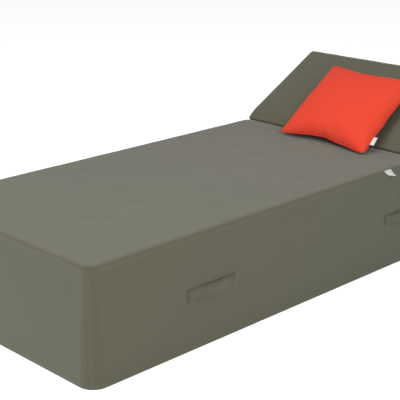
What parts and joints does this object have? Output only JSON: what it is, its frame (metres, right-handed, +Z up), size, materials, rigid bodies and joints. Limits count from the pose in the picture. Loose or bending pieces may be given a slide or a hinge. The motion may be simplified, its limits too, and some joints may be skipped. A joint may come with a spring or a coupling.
{
  "type": "guest lounger bed",
  "caption": "Low foam guest bed in a woven fabric cover, with side strap handles, a hinged headrest panel held by ratchets, and a loose square cushion.",
  "frame": {"origin": "on the floor under the middle of the bed's bounding box", "axes": "+X from the foot to the head, +Y from the near side with the care label to the far side, +Z up"},
  "size_m": [1.904, 0.8266, 0.5728],
  "materials": {
    "body_fabric": "coarse plain-weave upholstery cloth, olive grey",
    "strap_fabric": "the same cloth folded double and stitched along its edges",
    "cushion_fabric": "plain-weave cotton canvas, orange red",
    "label": "white woven tape, blank",
    "foam": "open-cell polyurethane foam",
    "fibre_fill": "loose polyester fibre",
    "plywood": "birch plywood, unfinished",
    "steel": "zinc-plated pressed steel",
    "zip_metal": "dark enamelled zip"
  },
  "bodies": {
    "base": {"base_foam": "foam", "comfort_foam": "foam", "deck_board": "plywood", "cover_top": "body_fabric", "cover_recess": "body_fabric", "cover_side_near": "body_fabric", "cover_side_far": "body_fabric", "cover_foot_end": "body_fabric", "cover_head_end": "body_fabric", "cover_underside": "body_fabric", "care_label": "label", "body_zip_chain": "zip_metal", "hinge_web": "body_fabric", "handle_near_foot": "strap_fabric", "handle_near_head": "strap_fabric", "handle_far_foot": "strap_fabric", "handle_far_head": "strap_fabric", "ratchet_bracket_near": "steel", "ratchet_bracket_far": "steel", "ratchet_pin_near": "steel", "ratchet_pin_far": "steel", "bracket_screw_near_front": "steel", "bracket_screw_near_rear": "steel", "bracket_screw_far_front": "steel", "bracket_screw_far_rear": "steel"},
    "headrest": {"headrest_board": "plywood", "headrest_foam": "foam", "headrest_cover_face": "body_fabric", "headrest_cover_back": "body_fabric", "headrest_cover_front": "body_fabric", "headrest_cover_end": "body_fabric", "headrest_cover_side_near": "body_fabric", "headrest_cover_side_far": "body_fabric", "headrest_zip_chain": "zip_metal", "ratchet_arm_near": "steel", "ratchet_arm_far": "steel", "arm_screw_near_front": "steel", "arm_screw_near_rear": "steel", "arm_screw_far_front": "steel", "arm_screw_far_rear": "steel"},
    "cushion": {"cushion_cover_front": "cushion_fabric", "cushion_cover_back": "cushion_fabric", "cushion_fill": "fibre_fill", "cushion_label": "label"},
    "body_zip_slider": {"body_zip_slider": "zip_metal"},
    "body_zip_pull": {"body_zip_pull": "zip_metal"},
    "headrest_zip_slider": {"headrest_zip_slider": "zip_metal"},
    "headrest_zip_pull": {"headrest_zip_pull": "zip_metal"}
  },
  "joints": [
    {"name": "headrest_tilt", "type": "hinge", "parent": "base", "child": "headrest", "pos_m": [0.501, 0, 0.343], "axis": [0, -1, 0], "range_deg": [-28.7, 0]},
    {"name": "cushion_lift", "type": "slide", "parent": "headrest", "child": "cushion", "axis": [-0.4802, 0, 0.8771], "range_m": [0, 0.25]},
    {"name": "body_zip_travel", "type": "slide", "parent": "base", "child": "body_zip_slider", "axis": [0, -1, 0], "range_m": [0, 0.67]},
    {"name": "body_zip_pull_swing", "type": "hinge", "parent": "body_zip_slider", "child": "body_zip_pull", "pos_m": [0.9512, 0.335, 0.044], "axis": [0, -1, 0], "range_deg": [0, 150]},
    {"name": "headrest_zip_travel", "type": "slide", "parent": "headrest", "child": "headrest_zip_slider", "axis": [0, -1, 0], "range_m": [0, 0.67]},
    {"name": "headrest_zip_pull_swing", "type": "hinge", "parent": "headrest_zip_slider", "child": "headrest_zip_pull", "pos_m": [0.90189, 0.335, 0.54823], "axis": [0, -1, 0], "range_deg": [0, 150]}
  ]
}
